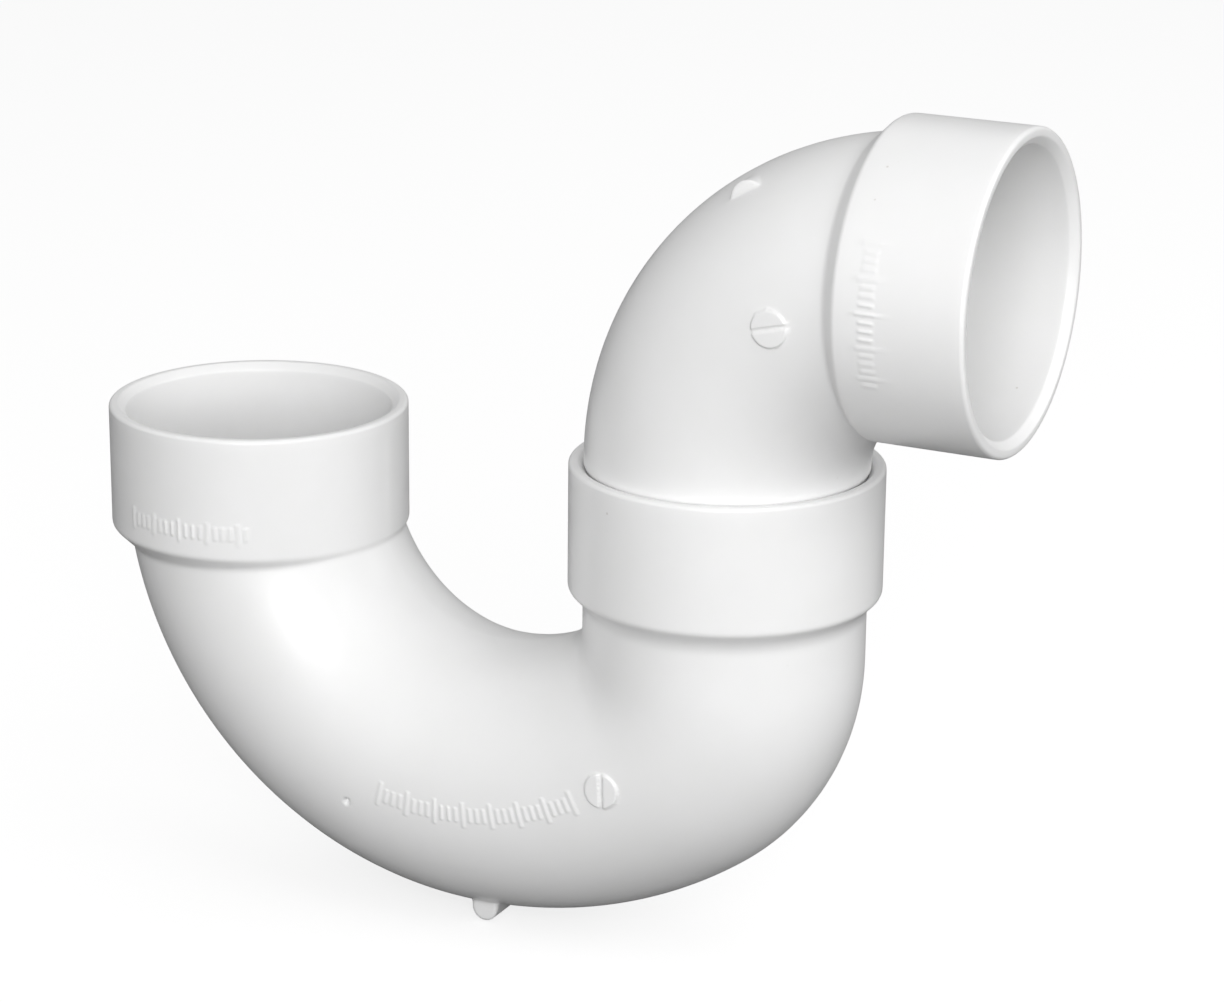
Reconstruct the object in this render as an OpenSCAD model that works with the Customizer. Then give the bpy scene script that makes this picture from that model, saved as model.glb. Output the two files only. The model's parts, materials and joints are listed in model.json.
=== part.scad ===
// Solvent-weld drain trap: a U-shaped return bend and a street elbow that turns in its outlet hub.
// The origin is the centre of the inlet socket's stop shoulder, where the inlet pipe's end seats.
// +Z points up, out of the inlet, and +X points from the inlet leg towards the outlet leg.

/* [Pipe] */
// Outside diameter of the pipe and of the elbow's spigot
pipe_d = 88.9; // [87:0.1:90]
// Difference in diameter between a socket and the pipe in it
socket_play = 0.16; // [0.04:0.02:0.2]
// Depth of a socket, from its mouth to its stop shoulder
socket_depth = 38.1; // [34:0.1:40]
// Diameter of the waterway
bore_d = 78; // [74:0.5:79]

/* [Hubs] */
// Outside diameter of a hub
hub_d = 100; // [98:0.5:104]
// Height of a hub's straight outside, from its rim to its back chamfer
hub_h = 41; // [40:0.5:44]
// Radius of a hub rim's outer corner
rim_round = 1.3; // [0.5:0.1:3]
// Width of the lead-in chamfer at a socket's mouth
lead_in = 2.4; // [0.2:0.1:3]
// How far a hub's back chamfer runs in towards the body
back_chamfer = 9; // [7:0.5:10]

/* [Return bend] */
// Outside diameter of both bodies
body_d = 90.3; // [90:0.1:92]
// Distance between the inlet leg's axis and the outlet leg's axis
leg_spacing = 173; // [168:1:180]
// Height of the outlet leg's rim above the inlet's rim
rim_step = 3.6; // [0:0.1:6]
// Depth below the inlet's rim where the entry bend starts
entry_drop = 23; // [20:0.5:26]
// Centreline radius of the entry bend, under the inlet
entry_r = 91.4; // [88:0.2:94]
// Angle that the shallow run turns through, past the lowest point
shallow_angle = 36.5; // [34:0.5:39]
// Centreline radius of the corner under the outlet leg
corner_r = 40; // [39.5:0.1:42]

/* [Street elbow] */
// Centreline radius of the elbow
elbow_r = 65.3; // [64:0.1:70]
// Height of the elbow's shoulder above the outlet leg's rim
shoulder_gap = 0.5; // [0.3:0.1:2]
// Gap between the spigot's end and the stop shoulder below it
spigot_gap = 0.5; // [0.3:0.1:2]
// Bevel on the spigot's end
spigot_bevel = 1.5; // [0.5:0.1:2.5]
// Distance from the outlet leg's axis to the outlet's rim
outlet_reach = 96.3; // [94:0.1:100]

/* [Moulding details] */
// Diameter of a slotted boss
boss_d = 11.6; // [8:0.2:14]
// Height of a slotted boss above the flank
boss_h = 0.7; // [0.4:0.1:1.5]
// Width of the slot across a boss
slot_w = 1.2; // [0.8:0.1:2]
// Depth of the slot across a boss
slot_depth = 0.9; // [0.4:0.1:1.5]
// Diameter of the ejector pad under the return bend
bend_pad_d = 9; // [6:0.5:12]
// How far the return bend's pad reaches from the centreline
bend_pad_reach = 47.4; // [46.5:0.1:49]
// Distance from the middle plane to the face of the return bend's pad
bend_pad_face = 20; // [16:0.5:24]
// Diameter of the ejector pad on the elbow's back
elbow_pad_d = 12; // [9:0.5:14]
// How far the elbow's pad reaches from the centreline
elbow_pad_reach = 43; // [42:0.1:48]
// Distance from the middle plane to the face of the elbow's pad
elbow_pad_face = 22; // [18:0.5:24]

/* [Hidden] */
$fn = 96;
eps = 0.01;
// Small difference in radius between two runs that meet end to end
run_step = 0.04;
// How far the straight leg reaches down into the corner
leg_overlap = 1;
bore_r = bore_d / 2;
body_r = body_d / 2;
socket_r = (pipe_d + socket_play) / 2;
// Rims of the inlet, the outlet leg and the outlet
inlet_rim_z = socket_depth;
leg_rim_z = inlet_rim_z + rim_step;
// Centres and radii of the return bend's three arcs, each tangent to the next
entry_x = entry_r;
entry_z = inlet_rim_z - entry_drop;
lowest_z = entry_z - entry_r;
shallow_r = corner_r + (leg_spacing - entry_r - corner_r) / sin(shallow_angle);
shallow_z = lowest_z + shallow_r;
corner_x = leg_spacing - corner_r;
corner_z = shallow_z - (shallow_r - corner_r) * cos(shallow_angle);
// The elbow's arc
elbow_x = leg_spacing + elbow_r;
elbow_z = leg_rim_z + shoulder_gap;
outlet_z = elbow_z + elbow_r;
outlet_rim_x = leg_spacing + outlet_reach;
// Where the moulding details sit, as angles round their arcs
bend_pad_angle = 272;
bend_boss_angle = 270 + 0.925 * shallow_angle;
elbow_pad_angle = 119.2;
elbow_boss_angle = 119.2;
bend_slot_tilt = 92;
elbow_slot_tilt = 14;

// Moves its children to the point at an angle round an arc in the XZ plane, with +X along the radius.
module at_arc(x, z, r, angle) {
    translate([x, 0, z])
        rotate([0, -angle, 0])
            translate([r, 0, 0])
                children();
}

// A round bar swept along an arc in the XZ plane. Past the arc's own axis the bar is cut off.
module bar_arc(x, z, bend_r, r, from, to) {
    translate([x, 0, z])
        rotate([90, 0, 0])
            rotate([0, 0, from])
                rotate_extrude(angle = to - from)
                    intersection() {
                        translate([bend_r, 0])
                            circle(r = r);
                        translate([0, -r])
                            square([bend_r + r, 2 * r]);
                    }
}

// The solid of a hub, with its rim at z = 0 and its body side towards -Z.
module hub_solid() {
    hub_r = hub_d / 2;
    rotate_extrude()
        union() {
            translate([0, -hub_h])
                square([hub_r, hub_h - rim_round]);
            translate([0, -rim_round])
                square([hub_r - rim_round, rim_round]);
            translate([hub_r - rim_round, -rim_round])
                circle(r = rim_round);
        }
    translate([0, 0, -hub_h - back_chamfer])
        cylinder(r1 = hub_r - back_chamfer, r2 = hub_r, h = back_chamfer);
}

// The space inside a hub: the socket and its lead-in, with the mouth at z = 0.
module socket_space() {
    translate([0, 0, -socket_depth])
        cylinder(r = socket_r, h = socket_depth + eps);
    translate([0, 0, -lead_in])
        cylinder(r1 = socket_r, r2 = socket_r + lead_in + eps, h = lead_in + eps);
}

// The return bend's swept bar: its entry bend, shallow run, corner and straight leg.
module bend_bar(r, top_z) {
    bar_arc(entry_x, entry_z, entry_r, r, 180, 270);
    bar_arc(entry_x, shallow_z, shallow_r, r, 270, 270 + shallow_angle);
    bar_arc(corner_x, corner_z, corner_r, r + run_step, 270 + shallow_angle, 360);
    translate([leg_spacing, 0, corner_z - leg_overlap])
        cylinder(r = r, h = top_z - corner_z + leg_overlap);
}

// A round boss with a slot across it, on the front flank, at the origin of the centreline.
module slotted_boss(tilt) {
    rotate([90, 0, 0])
        difference() {
            translate([0, 0, body_r - 2])
                cylinder(d = boss_d, h = 2 + boss_h);
            translate([0, 0, body_r + boss_h])
                rotate([0, 0, tilt])
                    cube([boss_d + 1, slot_w, 2 * slot_depth], center = true);
        }
}

// A round pad on the front half of a bend's outside, where the ejector pushed. +X is the radius.
module ejector_pad(d, reach, face) {
    translate([reach - d / 2, 0, 0])
        rotate([90, 0, 0])
            cylinder(d = d, h = face);
}

module return_bend() {
    color("white")
        difference() {
            union() {
                bend_bar(body_r, leg_rim_z - hub_h);
                translate([0, 0, inlet_rim_z])
                    hub_solid();
                translate([leg_spacing, 0, leg_rim_z])
                    hub_solid();
                at_arc(entry_x, shallow_z, shallow_r, bend_pad_angle)
                    ejector_pad(bend_pad_d, bend_pad_reach, bend_pad_face);
                translate([
                    entry_x + shallow_r * cos(bend_boss_angle),
                    0,
                    shallow_z + shallow_r * sin(bend_boss_angle)
                ])
                    slotted_boss(bend_slot_tilt);
            }
            bend_bar(bore_r, leg_rim_z - socket_depth + eps);
            translate([0, 0, inlet_rim_z])
                socket_space();
            translate([leg_spacing, 0, leg_rim_z])
                socket_space();
        }
}

module trap_elbow() {
    spigot_l = socket_depth - spigot_gap + shoulder_gap;
    spigot_z = elbow_z - spigot_l;
    color("white")
        difference() {
            union() {
                translate([leg_spacing, 0, spigot_z]) {
                    cylinder(d1 = pipe_d - 2 * spigot_bevel, d2 = pipe_d, h = spigot_bevel);
                    translate([0, 0, spigot_bevel])
                        cylinder(d = pipe_d, h = spigot_l - spigot_bevel);
                }
                bar_arc(elbow_x, elbow_z, elbow_r, body_r, 90, 180);
                translate([outlet_rim_x, 0, outlet_z])
                    rotate([0, 90, 0])
                        hub_solid();
                at_arc(elbow_x, elbow_z, elbow_r, elbow_pad_angle)
                    ejector_pad(elbow_pad_d, elbow_pad_reach, elbow_pad_face);
                translate([
                    elbow_x + elbow_r * cos(elbow_boss_angle),
                    0,
                    elbow_z + elbow_r * sin(elbow_boss_angle)
                ])
                    slotted_boss(elbow_slot_tilt);
            }
            translate([leg_spacing, 0, spigot_z - eps])
                cylinder(r = bore_r + run_step, h = spigot_l + eps);
            bar_arc(elbow_x, elbow_z, elbow_r, bore_r, 90, 180);
            translate([outlet_rim_x, 0, outlet_z])
                rotate([0, 90, 0])
                    socket_space();
        }
}

return_bend();
trap_elbow();
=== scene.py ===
import json
import math

import bpy
import numpy as np
from mathutils import Matrix, Vector


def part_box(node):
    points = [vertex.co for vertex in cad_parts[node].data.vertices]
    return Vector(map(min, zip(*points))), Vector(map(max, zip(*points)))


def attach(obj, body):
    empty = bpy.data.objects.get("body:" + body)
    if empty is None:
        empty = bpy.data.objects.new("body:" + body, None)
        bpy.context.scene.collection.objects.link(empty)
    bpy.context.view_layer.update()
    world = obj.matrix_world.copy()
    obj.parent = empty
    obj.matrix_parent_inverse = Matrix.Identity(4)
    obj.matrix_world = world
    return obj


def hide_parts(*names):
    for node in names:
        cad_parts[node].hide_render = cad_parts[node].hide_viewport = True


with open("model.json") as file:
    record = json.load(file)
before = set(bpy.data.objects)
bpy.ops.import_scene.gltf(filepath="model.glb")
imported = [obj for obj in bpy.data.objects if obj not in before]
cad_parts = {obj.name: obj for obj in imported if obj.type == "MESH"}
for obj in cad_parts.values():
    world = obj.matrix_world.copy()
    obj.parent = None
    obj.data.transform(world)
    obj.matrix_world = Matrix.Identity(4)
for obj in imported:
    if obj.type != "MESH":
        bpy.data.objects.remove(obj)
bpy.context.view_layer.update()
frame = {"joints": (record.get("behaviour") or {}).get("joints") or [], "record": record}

# ---------------------------------------------------------------- sizes, in millimetres
MM = 0.001
MOUNTS = {m["name"]: m for m in frame["record"]["mounts"]}
SWIVEL = Vector(frame["joints"][0]["pos_m"])
BEND_LOW, BEND_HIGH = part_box("return_bend")
ELBOW_LOW, ELBOW_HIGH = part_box("trap_elbow")

# hubs and sockets
HUB_R = BEND_HIGH[1] / MM
HUB_STRAIGHT = 41.0
BACK_CHAMFER = 9.0
RIM_ROUND = 1.3
LEAD_IN = 2.4
LIP_ROUND = 0.35
EDGE_BLEND = 0.7
SOCKET_R = MOUNTS["inlet_socket"]["dims"]["r_mm"]
SOCKET_DEPTH = 38.1
BORE_R = 39.0
BODY_R = 45.15
BODY_BLEND = 1.0

# the return bend's centreline
LEG_X = SWIVEL.x / MM
LEG_RIM = SWIVEL.z / MM
INLET_RIM = SOCKET_DEPTH
ENTRY_R = 91.4
ENTRY_Z = INLET_RIM - 23.0
LOWEST_Z = ENTRY_Z - ENTRY_R
SHALLOW = math.radians(36.5)
CORNER_R = 40.0
CORNER_X = LEG_X - CORNER_R
SHALLOW_R = CORNER_R + (CORNER_X - ENTRY_R) / math.sin(SHALLOW)
SHALLOW_Z = LOWEST_Z + SHALLOW_R
CORNER_Z = SHALLOW_Z - (SHALLOW_R - CORNER_R) * math.cos(SHALLOW)
CROTCH_BLEND = 22.0
FOLD_START = 0.5
CROTCH_EASE = 0.3

# the elbow's centreline and spigot
ELBOW_R = 65.3
ELBOW_X = LEG_X + ELBOW_R
OUTLET_Z = MOUNTS["outlet_socket"]["pos_m"][2] / MM
OUTLET_RIM = ELBOW_HIGH[0] / MM
ELBOW_Z = OUTLET_Z - ELBOW_R
SPIGOT_R = 44.45
SPIGOT_END = ELBOW_LOW[2] / MM
SPIGOT_BEVEL = 1.5

# moulded details
BOSS_R = 5.8
BOSS_H = 0.7
BOSS_FLOOR = 20.0
BOSS_EDGE = 0.3
SLOT_HALF = 0.6
SLOT_DEPTH = 0.9
SLOT_EDGE = 0.25
BEND_BOSS_TILT = math.radians(92)
ELBOW_BOSS_TILT = math.radians(14)
BEND_BOSS_ANGLE = 1.5 * math.pi + 0.925 * SHALLOW
BEND_PAD_ANGLE = math.radians(272)
BEND_PAD_D = 9.0
BEND_PAD_REACH = 47.4
BEND_PAD_FACE = 20.0
ELBOW_DETAIL_ANGLE = math.radians(119.2)
ELBOW_PAD_D = 12.0
ELBOW_PAD_REACH = 43.0
ELBOW_PAD_FACE = 22.0
PAD_EDGE = 0.5
PAD_BACK = 0.4
PAD_BLEND = 0.8

# raised ticks in place of lettering, the pin's mark, and the parting line
MARK_HEIGHT = 0.42
TICK_HALF = 0.45
TICK_EDGE = 0.7
TICK_PITCH = 2.6
FLANK_TICKS = {"start": -20.0, "count": 29, "pitch": TICK_PITCH, "long_half": 4.2, "short_half": 2.4}
INLET_TICKS = {"start": -21.0, "count": 18, "pitch": TICK_PITCH, "long_half": 3.6, "short_half": 2.2}
OUTLET_TICKS = {"start": -22.1, "count": 18, "pitch": TICK_PITCH, "long_half": 3.4, "short_half": 2.2}
INLET_TICKS_Z = 6.2
OUTLET_TICKS_X = 239.0
PIN_X = 58.7
PIN_Z = -79.8
PIN_R = 1.0
PIN_EDGE = 0.9
PIN_DEPTH = 1.3
PARTING_HEIGHT = 0.07
PARTING_HALF = 0.45

# where the half-planes that cut each piece into rings turn, and how far they reach from there
BEND_PIVOT = (95.0, -14.0)
BEND_REACH = (30.0, 140.0)
ELBOW_PIVOT_X = 222.0
ELBOW_REACH = (20.0, 110.0)
BORE_STEP = 3.0

# the camera: its angles, its distance in metres from the point it aims at, and its lens in millimetres
VIEW_AZIMUTH = math.radians(26.72)
VIEW_ELEVATION = math.radians(17.58)
VIEW_ROLL = math.radians(0.57)
VIEW_DISTANCE = 1.1633
AIM = SWIVEL + Vector((-0.0404, 0, -0.0194))
LENS = 106.8

# the studio: lamps are (name, azimuth, elevation, watts), all of one size and at one distance
FLOOR_HALF = 20
FLOOR_DROP = 0.0005
FLOOR_GLOW = 0.78
FLOOR_TONE = 0.3
FLOOR_BOUNCE = 0.15
ROOM_LIGHT = 0.47
BACKDROP = 1.0
SOFTBOX_DISTANCE = 2.0
SOFTBOX_SIZE = 1.0
SOFTBOXES = [
    ("front", 27, 20, 18),
    ("right", 75, 30, 4),
    ("upper_right", 55, 50, 3),
    ("far_right", 115, 20, 8),
    ("low_front", 15, 3, 9),
    ("low_right", 60, 0, 4),
    ("back", 200, 50, 2),
]

# a line is its two ends; an arc is its centre, radius and end angles; all in the XZ plane
BEND_PATH = [
    ("line", (0.0, INLET_RIM), (0.0, ENTRY_Z)),
    ("arc", (ENTRY_R, ENTRY_Z), ENTRY_R, math.pi, 1.5 * math.pi),
    ("arc", (ENTRY_R, SHALLOW_Z), SHALLOW_R, 1.5 * math.pi, 1.5 * math.pi + SHALLOW),
    ("arc", (CORNER_X, CORNER_Z), CORNER_R, 1.5 * math.pi + SHALLOW, 2 * math.pi),
    ("line", (LEG_X, CORNER_Z), (LEG_X, LEG_RIM)),
]
ELBOW_PATH = [
    ("line", (LEG_X, SPIGOT_END), (LEG_X, ELBOW_Z)),
    ("arc", (ELBOW_X, ELBOW_Z), ELBOW_R, 0.5 * math.pi, math.pi),
    ("line", (ELBOW_X, OUTLET_Z), (OUTLET_RIM, OUTLET_Z)),
]


# ---------------------------------------------------------------- solids, as signed distances in mm
def smooth_max(a, b, reach):
    """The larger of two distances, with the edge between them rounded over reach."""
    overlap = np.maximum(reach - np.abs(a - b), 0.0) / reach
    return np.maximum(a, b) + overlap**2 * reach / 4


def smooth_min(a, b, reach):
    """The smaller of two distances, with the inner corner between them filled over reach."""
    return -smooth_max(-a, -b, reach)


def rounded_corner(a, b, radius):
    """Two faces that meet at a right angle, with a true round of that radius between them."""
    outside = np.hypot(np.maximum(a + radius, 0.0), np.maximum(b + radius, 0.0))
    return outside + np.minimum(np.maximum(a, b) + radius, 0.0) - radius


def nearest(points, piece):
    """The nearest point of a line or arc to each point, as x and z."""
    x, z = points[..., 0], points[..., 2]
    if piece[0] == "line":
        (x0, z0), (x1, z1) = piece[1:]
        run_x, run_z = x1 - x0, z1 - z0
        along = ((x - x0) * run_x + (z - z0) * run_z) / (run_x**2 + run_z**2)
        along = np.clip(along, 0.0, 1.0)
        return x0 + along * run_x, z0 + along * run_z
    (centre_x, centre_z), radius, low, high = piece[1:]
    middle, half = (low + high) / 2, (high - low) / 2
    angle = np.arctan2(z - centre_z, x - centre_x) - middle
    angle = (angle + math.pi) % (2 * math.pi) - math.pi
    angle = np.clip(angle, -half, half) + middle
    return centre_x + radius * np.cos(angle), centre_z + radius * np.sin(angle)


def reach_from(points, piece):
    """How far each point is from a line or arc, and in which direction."""
    near_x, near_z = nearest(points, piece)
    offset = points - np.stack([near_x, np.zeros_like(near_x), near_z], axis=-1)
    gap = np.linalg.norm(offset, axis=-1)
    return gap, offset / np.maximum(gap, 1e-9)[..., None]


def tube(points, path, radius):
    """A round tube along a path."""
    return np.min([reach_from(points, piece)[0] for piece in path], axis=0) - radius


def crotch_lift(points, solid, run, leg):
    """How far the inner corner between two runs of a body stands filled above the body's own surface."""
    to_run, run_heading = reach_from(points, run)
    to_leg, leg_heading = reach_from(points, leg)
    fold = np.linalg.norm(run_heading - leg_heading, axis=-1) - FOLD_START
    filled = smooth_min(to_run, to_leg, np.maximum(CROTCH_BLEND * fold, 1e-6))
    lift = np.maximum(BODY_R + solid - filled, 0.0)
    return np.where(lift < 2 * CROTCH_EASE, lift**2 / (4 * CROTCH_EASE), lift - CROTCH_EASE)


def hub(points, rim, axis):
    """The outside of a hub: straight down from its rounded rim, then a 45 degree back chamfer."""
    offset = points - np.array(rim)
    depth = -(offset @ np.array(axis))
    across = np.linalg.norm(offset + depth[..., None] * np.array(axis), axis=-1)
    chamfer = (across - HUB_R + depth - HUB_STRAIGHT) / math.sqrt(2)
    side = smooth_max(across - HUB_R, chamfer, EDGE_BLEND)
    solid = np.maximum(side, depth - HUB_STRAIGHT - BACK_CHAMFER)
    return rounded_corner(solid, -depth, RIM_ROUND)


def slotted_boss(points, x, z, tilt):
    """A round, flat boss on the front flank, with a slot across it."""
    east, north, out = points[..., 0] - x, points[..., 2] - z, -points[..., 1]
    boss = rounded_corner(np.hypot(east, north) - BOSS_R, out - BODY_R - BOSS_H, BOSS_EDGE)
    boss = np.maximum(boss, BOSS_FLOOR - out)
    beside = np.abs(north * math.cos(tilt) - east * math.sin(tilt)) - SLOT_HALF
    slot = np.maximum(beside, BODY_R + BOSS_H - SLOT_DEPTH - out)
    return smooth_max(boss, -slot, SLOT_EDGE)


def ejector_pad(points, place, diameter, face):
    """A round pad on the front half, with its face square to Y."""
    across = np.hypot(points[..., 0] - place[0], points[..., 2] - place[1]) - diameter / 2
    pad = rounded_corner(across, -points[..., 1] - face, PAD_EDGE)
    return smooth_max(pad, points[..., 1] + PAD_BACK, PAD_EDGE)


def on_arc(centre_x, centre_z, radius, angle):
    """The x and z of a point at an angle round an arc."""
    return centre_x + radius * math.cos(angle), centre_z + radius * math.sin(angle)


BEND_BOSS = on_arc(ENTRY_R, SHALLOW_Z, SHALLOW_R, BEND_BOSS_ANGLE)
BEND_PAD = on_arc(ENTRY_R, SHALLOW_Z, SHALLOW_R + BEND_PAD_REACH - BEND_PAD_D / 2, BEND_PAD_ANGLE)
ELBOW_BOSS = on_arc(ELBOW_X, ELBOW_Z, ELBOW_R, ELBOW_DETAIL_ANGLE)
ELBOW_PAD = on_arc(ELBOW_X, ELBOW_Z, ELBOW_R + ELBOW_PAD_REACH - ELBOW_PAD_D / 2, ELBOW_DETAIL_ANGLE)


def bend_outside(points):
    """The return bend's outside: its tube, filled crotch, two hubs, pad and boss."""
    inlet = hub(points, (0, 0, INLET_RIM), (0, 0, 1))
    leg = hub(points, (LEG_X, 0, LEG_RIM), (0, 0, 1))
    solid = tube(points, BEND_PATH, BODY_R)
    solid = solid - crotch_lift(points, solid, BEND_PATH[2], BEND_PATH[4])
    solid = smooth_min(solid, np.minimum(inlet, leg), BODY_BLEND)
    solid = smooth_min(solid, ejector_pad(points, BEND_PAD, BEND_PAD_D, BEND_PAD_FACE), PAD_BLEND)
    return smooth_min(solid, slotted_boss(points, *BEND_BOSS, BEND_BOSS_TILT), BOSS_EDGE)


def elbow_outside(points):
    """The elbow's outside above its spigot: its tube, hub, pad and boss."""
    solid = tube(points, ELBOW_PATH, BODY_R)
    solid = smooth_min(solid, hub(points, (OUTLET_RIM, 0, OUTLET_Z), (1, 0, 0)), BODY_BLEND)
    solid = smooth_min(solid, ejector_pad(points, ELBOW_PAD, ELBOW_PAD_D, ELBOW_PAD_FACE), PAD_BLEND)
    return smooth_min(solid, slotted_boss(points, *ELBOW_BOSS, ELBOW_BOSS_TILT), BOSS_EDGE)


def bend_bore(points):
    """The return bend's waterway."""
    return tube(points, BEND_PATH, BORE_R)


def elbow_bore(points):
    """The elbow's waterway."""
    return tube(points, ELBOW_PATH, BORE_R)


# ---------------------------------------------------------------- relief on the outside, in millimetres
def soft_step(distance, edge):
    """1 inside a shape, 0 outside it, eased over the edge's width."""
    t = np.clip(0.5 - distance / edge, 0.0, 1.0)
    return t * t * (3 - 2 * t)


def tick_row(along, across, start, count, pitch, long_half, short_half):
    """A plain row of raised ticks, every fourth one long."""
    index = np.clip(np.round((along - start) / pitch), 0, count - 1)
    half = np.where(index % 4 == 0, long_half, short_half)
    beside = np.abs(along - start - index * pitch) - TICK_HALF
    beyond = np.abs(across) - half
    return MARK_HEIGHT * soft_step(np.maximum(beside, beyond), TICK_EDGE)


def parting_line(points):
    """The fine line where the mould's halves met, in the plane of the two legs."""
    return PARTING_HEIGHT * np.exp(-((points[..., 1] / PARTING_HALF) ** 2))


def bend_relief(points):
    """The return bend's marks: ticks on its flank and inlet hub, the pin's mark and the parting line."""
    x, y, z = points[..., 0], points[..., 1], points[..., 2]
    front = y < -0.6 * BODY_R
    entry_side = x < ENTRY_R
    arc_z = np.where(entry_side, ENTRY_Z, SHALLOW_Z)
    arc_r = np.where(entry_side, ENTRY_R, SHALLOW_R)
    along = arc_r * np.arctan2(x - ENTRY_R, arc_z - z)
    across = np.hypot(x - ENTRY_R, z - arc_z) - arc_r
    low_down = z < -30
    flank = tick_row(along, across, **FLANK_TICKS) * (front & low_down)
    around = HUB_R * np.arctan2(x, -y)
    on_hub = front & (x < HUB_R) & (z > -1)
    hub_row = tick_row(around, z - INLET_TICKS_Z, **INLET_TICKS) * on_hub
    pin = np.hypot(x - PIN_X, z - PIN_Z)
    pin_mark = -PIN_DEPTH * soft_step(pin - PIN_R, PIN_EDGE) * front
    return flank + hub_row + pin_mark + parting_line(points)


def elbow_relief(points):
    """The elbow's marks: ticks on its outlet hub and the parting line."""
    x, y, z = points[..., 0], points[..., 1], points[..., 2]
    around = HUB_R * np.arctan2(OUTLET_Z - z, -y)
    on_hub = (y < 0) & (x > OUTLET_RIM - HUB_STRAIGHT + 2)
    row = tick_row(around, x - OUTLET_TICKS_X, **OUTLET_TICKS) * on_hub
    return row + parting_line(points)


# ---------------------------------------------------------------- rings
def march(start, end, coarse, zones):
    """Places from start to end, coarse apart, or finer inside each zone (low, high, fine)."""
    places = [start]
    sign = 1 if end > start else -1
    while (end - places[-1]) * sign > 1e-9:
        inside = [fine for low, high, fine in zones if low < places[-1] + sign * fine < high]
        step = min([coarse] + inside)
        places.append(places[-1] + sign * step)
    stretch = (end - start) / (places[-1] - start)
    return [start + (p - start) * stretch for p in places]


# angles round a ring: fine on the front flank and at the pads, with three columns on each parting line
TURNS = np.radians(march(-180, 180, 3.6, [
    (-119, -97.5, 0.9), (-97.5, -82.5, 0.45), (-82.5, -62, 0.9), (-32, -19, 0.5), (-19, -2, 1.7),
    (-180, -179, 0.5), (-1, 1, 0.5), (179, 180, 0.5),
])[:-1])
SIDEWAYS = np.array([0.0, 1.0, 0.0])
UP = np.array([0.0, 0.0, 1.0])
RIGHT = np.array([1.0, 0.0, 0.0])


def fan(pivot, angles):
    """Half-planes that turn about a pivot in the gap inside a bend: (edge point, outward direction)."""
    edge = np.array([pivot[0], 0.0, pivot[1]])
    return [(edge, np.array([math.cos(a), 0.0, math.sin(a)])) for a in angles]


def cross_path(planes, path, low, high):
    """Where each half-plane crosses the centreline."""
    edge = np.array([p for p, _ in planes])
    outward = np.array([d for _, d in planes])
    low = np.full(len(planes), low)
    high = np.full(len(planes), high)
    for _ in range(60):
        third = (high - low) / 3
        near = tube(edge + (low + third)[:, None] * outward, path, 0.0)
        far = tube(edge + (high - third)[:, None] * outward, path, 0.0)
        low = np.where(near > far, low + third, low)
        high = np.where(near > far, high, high - third)
    return edge + low[:, None] * outward, outward


def cast(planes, path, solid, reach):
    """One ring of points in each half-plane, where rays from the centreline leave the solid."""
    centre, outward = cross_path(planes, path, *reach)
    rays = np.cos(TURNS)[None, :, None] * outward[:, None, :] + np.sin(TURNS)[None, :, None] * SIDEWAYS
    low = np.full(rays.shape[:2], 20.0)
    high = np.full(rays.shape[:2], 78.0)
    for _ in range(28):
        middle = (low + high) / 2
        inside = solid(centre[:, None, :] + middle[..., None] * rays) < 0
        low = np.where(inside, middle, low)
        high = np.where(inside, high, middle)
    return centre[:, None, :] + low[..., None] * rays, rays


def turned(profile, rim, axis, outward):
    """Rings of a turned surface from its profile of (radius, depth below the rim)."""
    around = np.cos(TURNS)[:, None] * outward + np.sin(TURNS)[:, None] * SIDEWAYS
    return np.array([np.array(rim) + r * around - depth * np.array(axis) for r, depth in profile])


def quarter(radius, depth, size, start, steps=7):
    """A quarter round in a profile, about (radius, depth), from the start angle on."""
    angles = [start + 0.5 * math.pi * k / steps for k in range(steps + 1)]
    return [(radius + size * math.cos(a), depth - size * math.sin(a)) for a in angles]


def mouth_profile():
    """A socket's mouth, from the hub's side over its rim and lead-in chamfer to its stop shoulder."""
    ease = 0.15 * LIP_ROUND
    profile = [(HUB_R, 5.0)]
    profile += quarter(HUB_R - RIM_ROUND, RIM_ROUND, RIM_ROUND, 0.0)
    profile += [(SOCKET_R + LEAD_IN + LIP_ROUND, 0.0)]
    profile += [(SOCKET_R + LEAD_IN + ease, ease)]
    profile += [(SOCKET_R + LEAD_IN - LIP_ROUND, LIP_ROUND)]
    profile += [(SOCKET_R + LIP_ROUND, LEAD_IN - LIP_ROUND)]
    profile += [(SOCKET_R + ease, LEAD_IN + ease)]
    profile += [(SOCKET_R, depth) for depth in (LEAD_IN + LIP_ROUND, 4, 10, 16, 22, 28, 34, 37)]
    profile += [(SOCKET_R, SOCKET_DEPTH - 0.5), (SOCKET_R - 0.15, SOCKET_DEPTH - 0.15)]
    profile += [(radius, SOCKET_DEPTH) for radius in (SOCKET_R - 0.5, BORE_R + 3.2, BORE_R + 2.6)]
    return profile


def stop_edge(plane, path, bore, reach, into):
    """Two rings that round a stop shoulder's edge into the bore, into being the way the bore runs."""
    ring, rays = cast([plane], path, bore, reach)
    below, _ = cast([(plane[0] + 0.5 * into, plane[1])], path, bore, reach)
    return np.concatenate([ring + 0.5 * rays, ring + 0.15 * rays + 0.15 * into, below])


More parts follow.
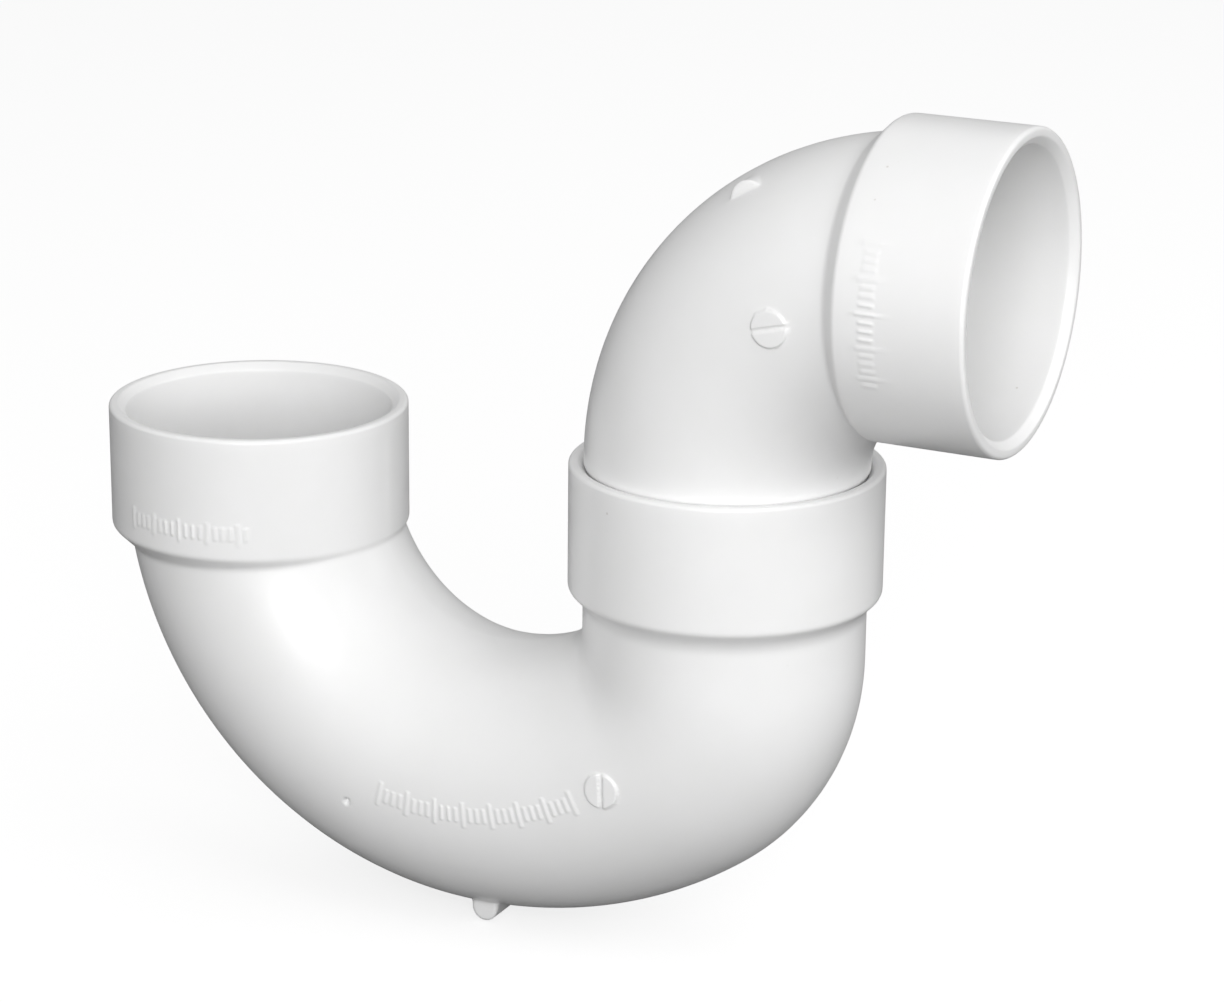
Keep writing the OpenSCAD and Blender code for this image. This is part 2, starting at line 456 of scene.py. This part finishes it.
def build(name, rings, body, material):
    """One closed mesh from rings that run along the outside and back through the bore."""
    count, around = rings.shape[:2]
    index = np.arange(count * around).reshape(count, around)
    ahead = np.roll(index, -1, axis=0)
    quads = np.stack([index, np.roll(index, -1, axis=1), np.roll(ahead, -1, axis=1), ahead], axis=-1)
    mesh = bpy.data.meshes.new(name)
    mesh.from_pydata((rings.reshape(-1, 3) * MM).tolist(), [], quads.reshape(-1, 4).tolist())
    a, b, c = (rings.reshape(-1, 3)[quads.reshape(-1, 4)[:, k]] for k in (0, 1, 2))
    if np.einsum("ij,ij->i", a, np.cross(b, c)).sum() < 0:
        mesh.flip_normals()
    mesh.materials.append(material)
    mesh.shade_smooth()
    mesh.validate()
    piece = bpy.data.objects.new(name, mesh)
    bpy.context.collection.objects.link(piece)
    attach(piece, body)
    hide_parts(body)
    return piece


# ---------------------------------------------------------------- the two pieces
def levels(x, outward, heights):
    """Level half-planes from a vertical edge at x."""
    return [(np.array([x, 0.0, z]), outward) for z in heights]


def return_bend_rings():
    """The return bend as rings, from the inlet's stop shoulder out over the body and back by the bore."""
    pivot, reach = BEND_PIVOT, BEND_REACH
    inlet_levels = march(INLET_RIM - 7, pivot[1], 3.0, [(1, 11, 0.6), (-5, 1, 0.8), (-14, -5, 0.8)])
    leg_levels = march(pivot[1], LEG_RIM - 7, 3.0, [(-14, -6, 0.9), (-2, 4, 0.8)])
    angles = np.radians(march(180, 360, 1.5, [
        (239.5, 243, 0.4), (246, 268, 0.55), (268, 274, 0.35), (274, 317, 0.55), (317, 330, 0.33),
    ]))
    planes = levels(pivot[0], -RIGHT, inlet_levels[:-1])
    planes += fan(pivot, angles)
    planes += levels(pivot[0], RIGHT, leg_levels[1:])
    outside, rays = cast(planes, BEND_PATH, bend_outside, reach)
    outside += bend_relief(outside)[..., None] * rays

    inlet_rim, leg_rim = (0, 0, INLET_RIM), (LEG_X, 0, LEG_RIM)
    inlet_stop = (np.array([pivot[0], 0, INLET_RIM - SOCKET_DEPTH]), -RIGHT)
    leg_stop = (np.array([pivot[0], 0, LEG_RIM - SOCKET_DEPTH]), RIGHT)
    planes = levels(pivot[0], RIGHT, march(LEG_RIM - SOCKET_DEPTH - 2, pivot[1], BORE_STEP, [])[:-1])
    planes += fan(pivot, np.radians(march(360, 180, BORE_STEP, [])))
    planes += levels(pivot[0], -RIGHT, march(pivot[1], -2, BORE_STEP, [])[1:])
    inside, _ = cast(planes, BEND_PATH, bend_bore, reach)
    return np.concatenate([
        turned(mouth_profile()[::-1], inlet_rim, UP, -RIGHT),
        outside,
        turned(mouth_profile(), leg_rim, UP, RIGHT),
        stop_edge(leg_stop, BEND_PATH, bend_bore, reach, -UP),
        inside,
        stop_edge(inlet_stop, BEND_PATH, bend_bore, reach, -UP)[::-1],
    ])


def spigot_profile():
    """The spigot, down its bore, round its end and up to its shoulder: (radius, depth below that)."""
    length = ELBOW_Z - SPIGOT_END
    profile = [(BORE_R, depth) for depth in (6, 14, 22, 30)]
    profile += [(BORE_R, length - 0.8), (BORE_R + 0.3, length - 0.25), (BORE_R + 0.8, length)]
    profile += [(SPIGOT_R - SPIGOT_BEVEL - 0.3, length), (SPIGOT_R - SPIGOT_BEVEL, length - 0.1)]
    profile += [(SPIGOT_R - 0.15, length - SPIGOT_BEVEL), (SPIGOT_R, length - SPIGOT_BEVEL - 0.4)]
    profile += [(SPIGOT_R, depth) for depth in (30, 22, 14, 6, 3.0, 2.4)]
    profile += [(SPIGOT_R + 0.08, 2.15), (BODY_R - 0.1, 1.5), (BODY_R, 1.2), (BODY_R, 0.5)]
    return profile


def elbow_rings():
    """The elbow as rings, from inside its spigot out over the body and back by the bore."""
    pivot, reach = (ELBOW_PIVOT_X, ELBOW_Z), ELBOW_REACH
    angles = np.radians(march(180, 90, 1.6, [(99, 115, 0.36)]))
    places = march(pivot[0], OUTLET_RIM - 7, 3.0, [(222, 230, 0.6), (234, 244, 0.6)])
    planes = fan(pivot, angles) + [(np.array([x, 0, ELBOW_Z]), UP) for x in places[1:]]
    outside, rays = cast(planes, ELBOW_PATH, elbow_outside, reach)
    outside += elbow_relief(outside)[..., None] * rays

    stop_x = OUTLET_RIM - SOCKET_DEPTH
    outlet_rim = (OUTLET_RIM, 0, OUTLET_Z)
    planes = [(np.array([x, 0, ELBOW_Z]), UP) for x in march(stop_x - 2, pivot[0], BORE_STEP, [])[:-1]]
    planes += fan(pivot, np.radians(march(90, 180, BORE_STEP, [])))
    inside, _ = cast(planes, ELBOW_PATH, elbow_bore, reach)
    stop = (np.array([stop_x, 0, ELBOW_Z]), UP)
    return np.concatenate([
        turned(spigot_profile(), (LEG_X, 0, ELBOW_Z), UP, -RIGHT),
        outside,
        turned(mouth_profile(), outlet_rim, RIGHT, UP),
        stop_edge(stop, ELBOW_PATH, elbow_bore, reach, -RIGHT),
        inside,
    ])


# ---------------------------------------------------------------- materials
def add(nodes, kind, **settings):
    """A node of that kind, with its inputs or properties set by name."""
    node = nodes.new(kind)
    for name, value in settings.items():
        if name in node.inputs:
            node.inputs[name].default_value = value
        else:
            setattr(node, name, value)
    return node


def moulded_pvc(name, seed):
    """White satin PVC: faint flow clouding, fine moulding orange peel, rubbed patches and dust specks."""
    mat = bpy.data.materials.new(name)
    mat.use_nodes = True
    nodes, links = mat.node_tree.nodes, mat.node_tree.links
    nodes.clear()
    out = add(nodes, "ShaderNodeOutputMaterial")
    shader = add(nodes, "ShaderNodeBsdfPrincipled")
    shader.inputs["IOR"].default_value = 1.53
    shader.inputs["Subsurface Weight"].default_value = 0.10
    shader.inputs["Subsurface Radius"].default_value = (0.003, 0.003, 0.0028)
    shader.inputs["Subsurface Scale"].default_value = 1.0
    links.new(shader.outputs[0], out.inputs[0])
    coord = add(nodes, "ShaderNodeTexCoord")
    shift = add(nodes, "ShaderNodeMapping")
    shift.inputs["Location"].default_value = (seed, seed * 0.37, -seed * 0.61)
    links.new(coord.outputs["Object"], shift.inputs[0])

    def noise(scale, detail, rough):
        """Noise in the piece's own space, moved by the seed."""
        node = add(nodes, "ShaderNodeTexNoise", Scale=scale, Detail=detail, Roughness=rough)
        links.new(shift.outputs[0], node.inputs["Vector"])
        return node.outputs["Fac"]

    def ramp(value, low, low_colour, high, high_colour):
        """A value turned into a colour, between two of them."""
        node = add(nodes, "ShaderNodeValToRGB")
        first, last = node.color_ramp.elements
        first.position, first.color = low, (*low_colour, 1)
        last.position, last.color = high, (*high_colour, 1)
        links.new(value, node.inputs[0])
        return node.outputs[0]

    # colour: slow clouding, then a few fine grey specks of dust
    cloud = ramp(noise(22, 4, 0.55), 0.30, (0.855, 0.855, 0.852), 0.72, (0.885, 0.885, 0.885))
    specks = add(nodes, "ShaderNodeTexVoronoi", Scale=95.0)
    links.new(shift.outputs[0], specks.inputs["Vector"])
    scatter = ramp(noise(31, 2, 0.5), 0.60, (0, 0, 0), 0.64, (1, 1, 1))
    dot = ramp(specks.outputs["Distance"], 0.025, (1, 1, 1), 0.05, (0, 0, 0))
    speck = add(nodes, "ShaderNodeMath", operation="MULTIPLY")
    links.new(dot, speck.inputs[0])
    links.new(scatter, speck.inputs[1])
    dust = add(nodes, "ShaderNodeMix", data_type="RGBA")
    dust.inputs[7].default_value = (0.70, 0.69, 0.67, 1)
    links.new(speck.outputs[0], dust.inputs[0])
    links.new(cloud, dust.inputs[6])
    links.new(dust.outputs[2], shader.inputs["Base Color"])

    # roughness: satin, with duller rubbed patches
    rub = add(nodes, "ShaderNodeMapRange")
    rub.inputs["From Min"].default_value = 0.3
    rub.inputs["From Max"].default_value = 0.75
    rub.inputs["To Min"].default_value = 0.28
    rub.inputs["To Max"].default_value = 0.42
    links.new(noise(60, 5, 0.6), rub.inputs["Value"])
    links.new(rub.outputs[0], shader.inputs["Roughness"])

    # bump: the mould's faint orange peel over a slow sink
    bump = add(nodes, "ShaderNodeBump", Strength=0.06, Distance=0.0002)
    sink = add(nodes, "ShaderNodeBump", Strength=0.05, Distance=0.002)
    links.new(noise(900, 2, 0.5), bump.inputs["Height"])
    links.new(noise(35, 2, 0.4), sink.inputs["Height"])
    links.new(sink.outputs[0], bump.inputs["Normal"])
    links.new(bump.outputs[0], shader.inputs["Normal"])
    return mat


build("return_bend_shell", return_bend_rings(), "return_bend", moulded_pvc("bend_pvc", 0.0))
build("trap_elbow_shell", elbow_rings(), "trap_elbow", moulded_pvc("elbow_pvc", 3.1))


# ---------------------------------------------------------------- stage

def make_camera():
    """The camera, at its azimuth and elevation from the point it aims at, with a slight roll."""
    back = Vector((
        math.sin(VIEW_AZIMUTH) * math.cos(VIEW_ELEVATION),
        -math.cos(VIEW_AZIMUTH) * math.cos(VIEW_ELEVATION),
        math.sin(VIEW_ELEVATION),
    ))
    level = (-back).cross(Vector((0, 0, 1))).normalized()
    upright = level.cross(-back)
    x = level * math.cos(VIEW_ROLL) + upright * math.sin(VIEW_ROLL)
    y = upright * math.cos(VIEW_ROLL) - level * math.sin(VIEW_ROLL)
    data = bpy.data.cameras.new("camera")
    data.lens = LENS
    data.sensor_width = 36.0
    data.clip_start = 0.01
    data.clip_end = 50.0
    camera = bpy.data.objects.new("camera", data)
    bpy.context.collection.objects.link(camera)
    turn = Matrix((x, y, back)).transposed()
    camera.matrix_world = Matrix.Translation(AIM + back * VIEW_DISTANCE) @ turn.to_4x4()
    bpy.context.scene.camera = camera


def make_floor():
    """A plain floor that looks near white and throws little light back up, as in a shaded light tent."""
    mesh = bpy.data.meshes.new("floor")
    half = FLOOR_HALF
    corners = [(-half, -half, 0), (half, -half, 0), (half, half, 0), (-half, half, 0)]
    mesh.from_pydata(corners, [], [(0, 1, 2, 3)])
    floor = bpy.data.objects.new("floor", mesh)
    bpy.context.collection.objects.link(floor)
    floor.location = (0, 0, BEND_LOW[2] - FLOOR_DROP)
    paint = bpy.data.materials.new("floor_paint")
    paint.use_nodes = True
    nodes, links = paint.node_tree.nodes, paint.node_tree.links
    nodes.clear()
    out = add(nodes, "ShaderNodeOutputMaterial")
    bounce = add(nodes, "ShaderNodeBsdfDiffuse", Color=(FLOOR_BOUNCE, FLOOR_BOUNCE, FLOOR_BOUNCE, 1))
    seen = add(nodes, "ShaderNodeBsdfDiffuse", Color=(FLOOR_TONE, FLOOR_TONE, FLOOR_TONE, 1))
    glow = add(nodes, "ShaderNodeEmission", Strength=FLOOR_GLOW)
    both = add(nodes, "ShaderNodeAddShader")
    ray = add(nodes, "ShaderNodeLightPath")
    mix = add(nodes, "ShaderNodeMixShader")
    links.new(seen.outputs[0], both.inputs[0])
    links.new(glow.outputs[0], both.inputs[1])
    links.new(ray.outputs["Is Camera Ray"], mix.inputs[0])
    links.new(bounce.outputs[0], mix.inputs[1])
    links.new(both.outputs[0], mix.inputs[2])
    links.new(mix.outputs[0], out.inputs[0])
    floor.data.materials.append(paint)


def make_world():
    """A dim studio room that the camera sees as a white backdrop."""
    world = bpy.data.worlds.new("studio")
    bpy.context.scene.world = world
    world.use_nodes = True
    nodes, links = world.node_tree.nodes, world.node_tree.links
    nodes.clear()
    out = add(nodes, "ShaderNodeOutputWorld")
    room = add(nodes, "ShaderNodeBackground")
    room.inputs["Color"].default_value = (1, 1, 1, 1)
    room.inputs["Strength"].default_value = ROOM_LIGHT
    backdrop = add(nodes, "ShaderNodeBackground")
    backdrop.inputs["Color"].default_value = (1, 1, 1, 1)
    backdrop.inputs["Strength"].default_value = BACKDROP
    ray = add(nodes, "ShaderNodeLightPath")
    mix = add(nodes, "ShaderNodeMixShader")
    links.new(ray.outputs["Is Camera Ray"], mix.inputs[0])
    links.new(room.outputs[0], mix.inputs[1])
    links.new(backdrop.outputs[0], mix.inputs[2])
    links.new(mix.outputs[0], out.inputs[0])


def softbox(name, azimuth, elevation, watts):
    """A square light that faces the object. Azimuth 0 is in front of it, and 90 is on its right."""
    a, e = math.radians(azimuth), math.radians(elevation)
    toward = Vector((math.sin(a) * math.cos(e), -math.cos(a) * math.cos(e), math.sin(e)))
    data = bpy.data.lights.new(name, "AREA")
    data.shape = "SQUARE"
    data.size = SOFTBOX_SIZE
    data.energy = watts
    lamp = bpy.data.objects.new(name, data)
    bpy.context.collection.objects.link(lamp)
    lamp.location = AIM + toward * SOFTBOX_DISTANCE
    lamp.rotation_euler = (-toward).to_track_quat("-Z", "Y").to_euler()


make_camera()
make_floor()
make_world()
for lamp in SOFTBOXES:
    softbox(*lamp)
bpy.context.scene.view_settings.view_transform = "Standard"
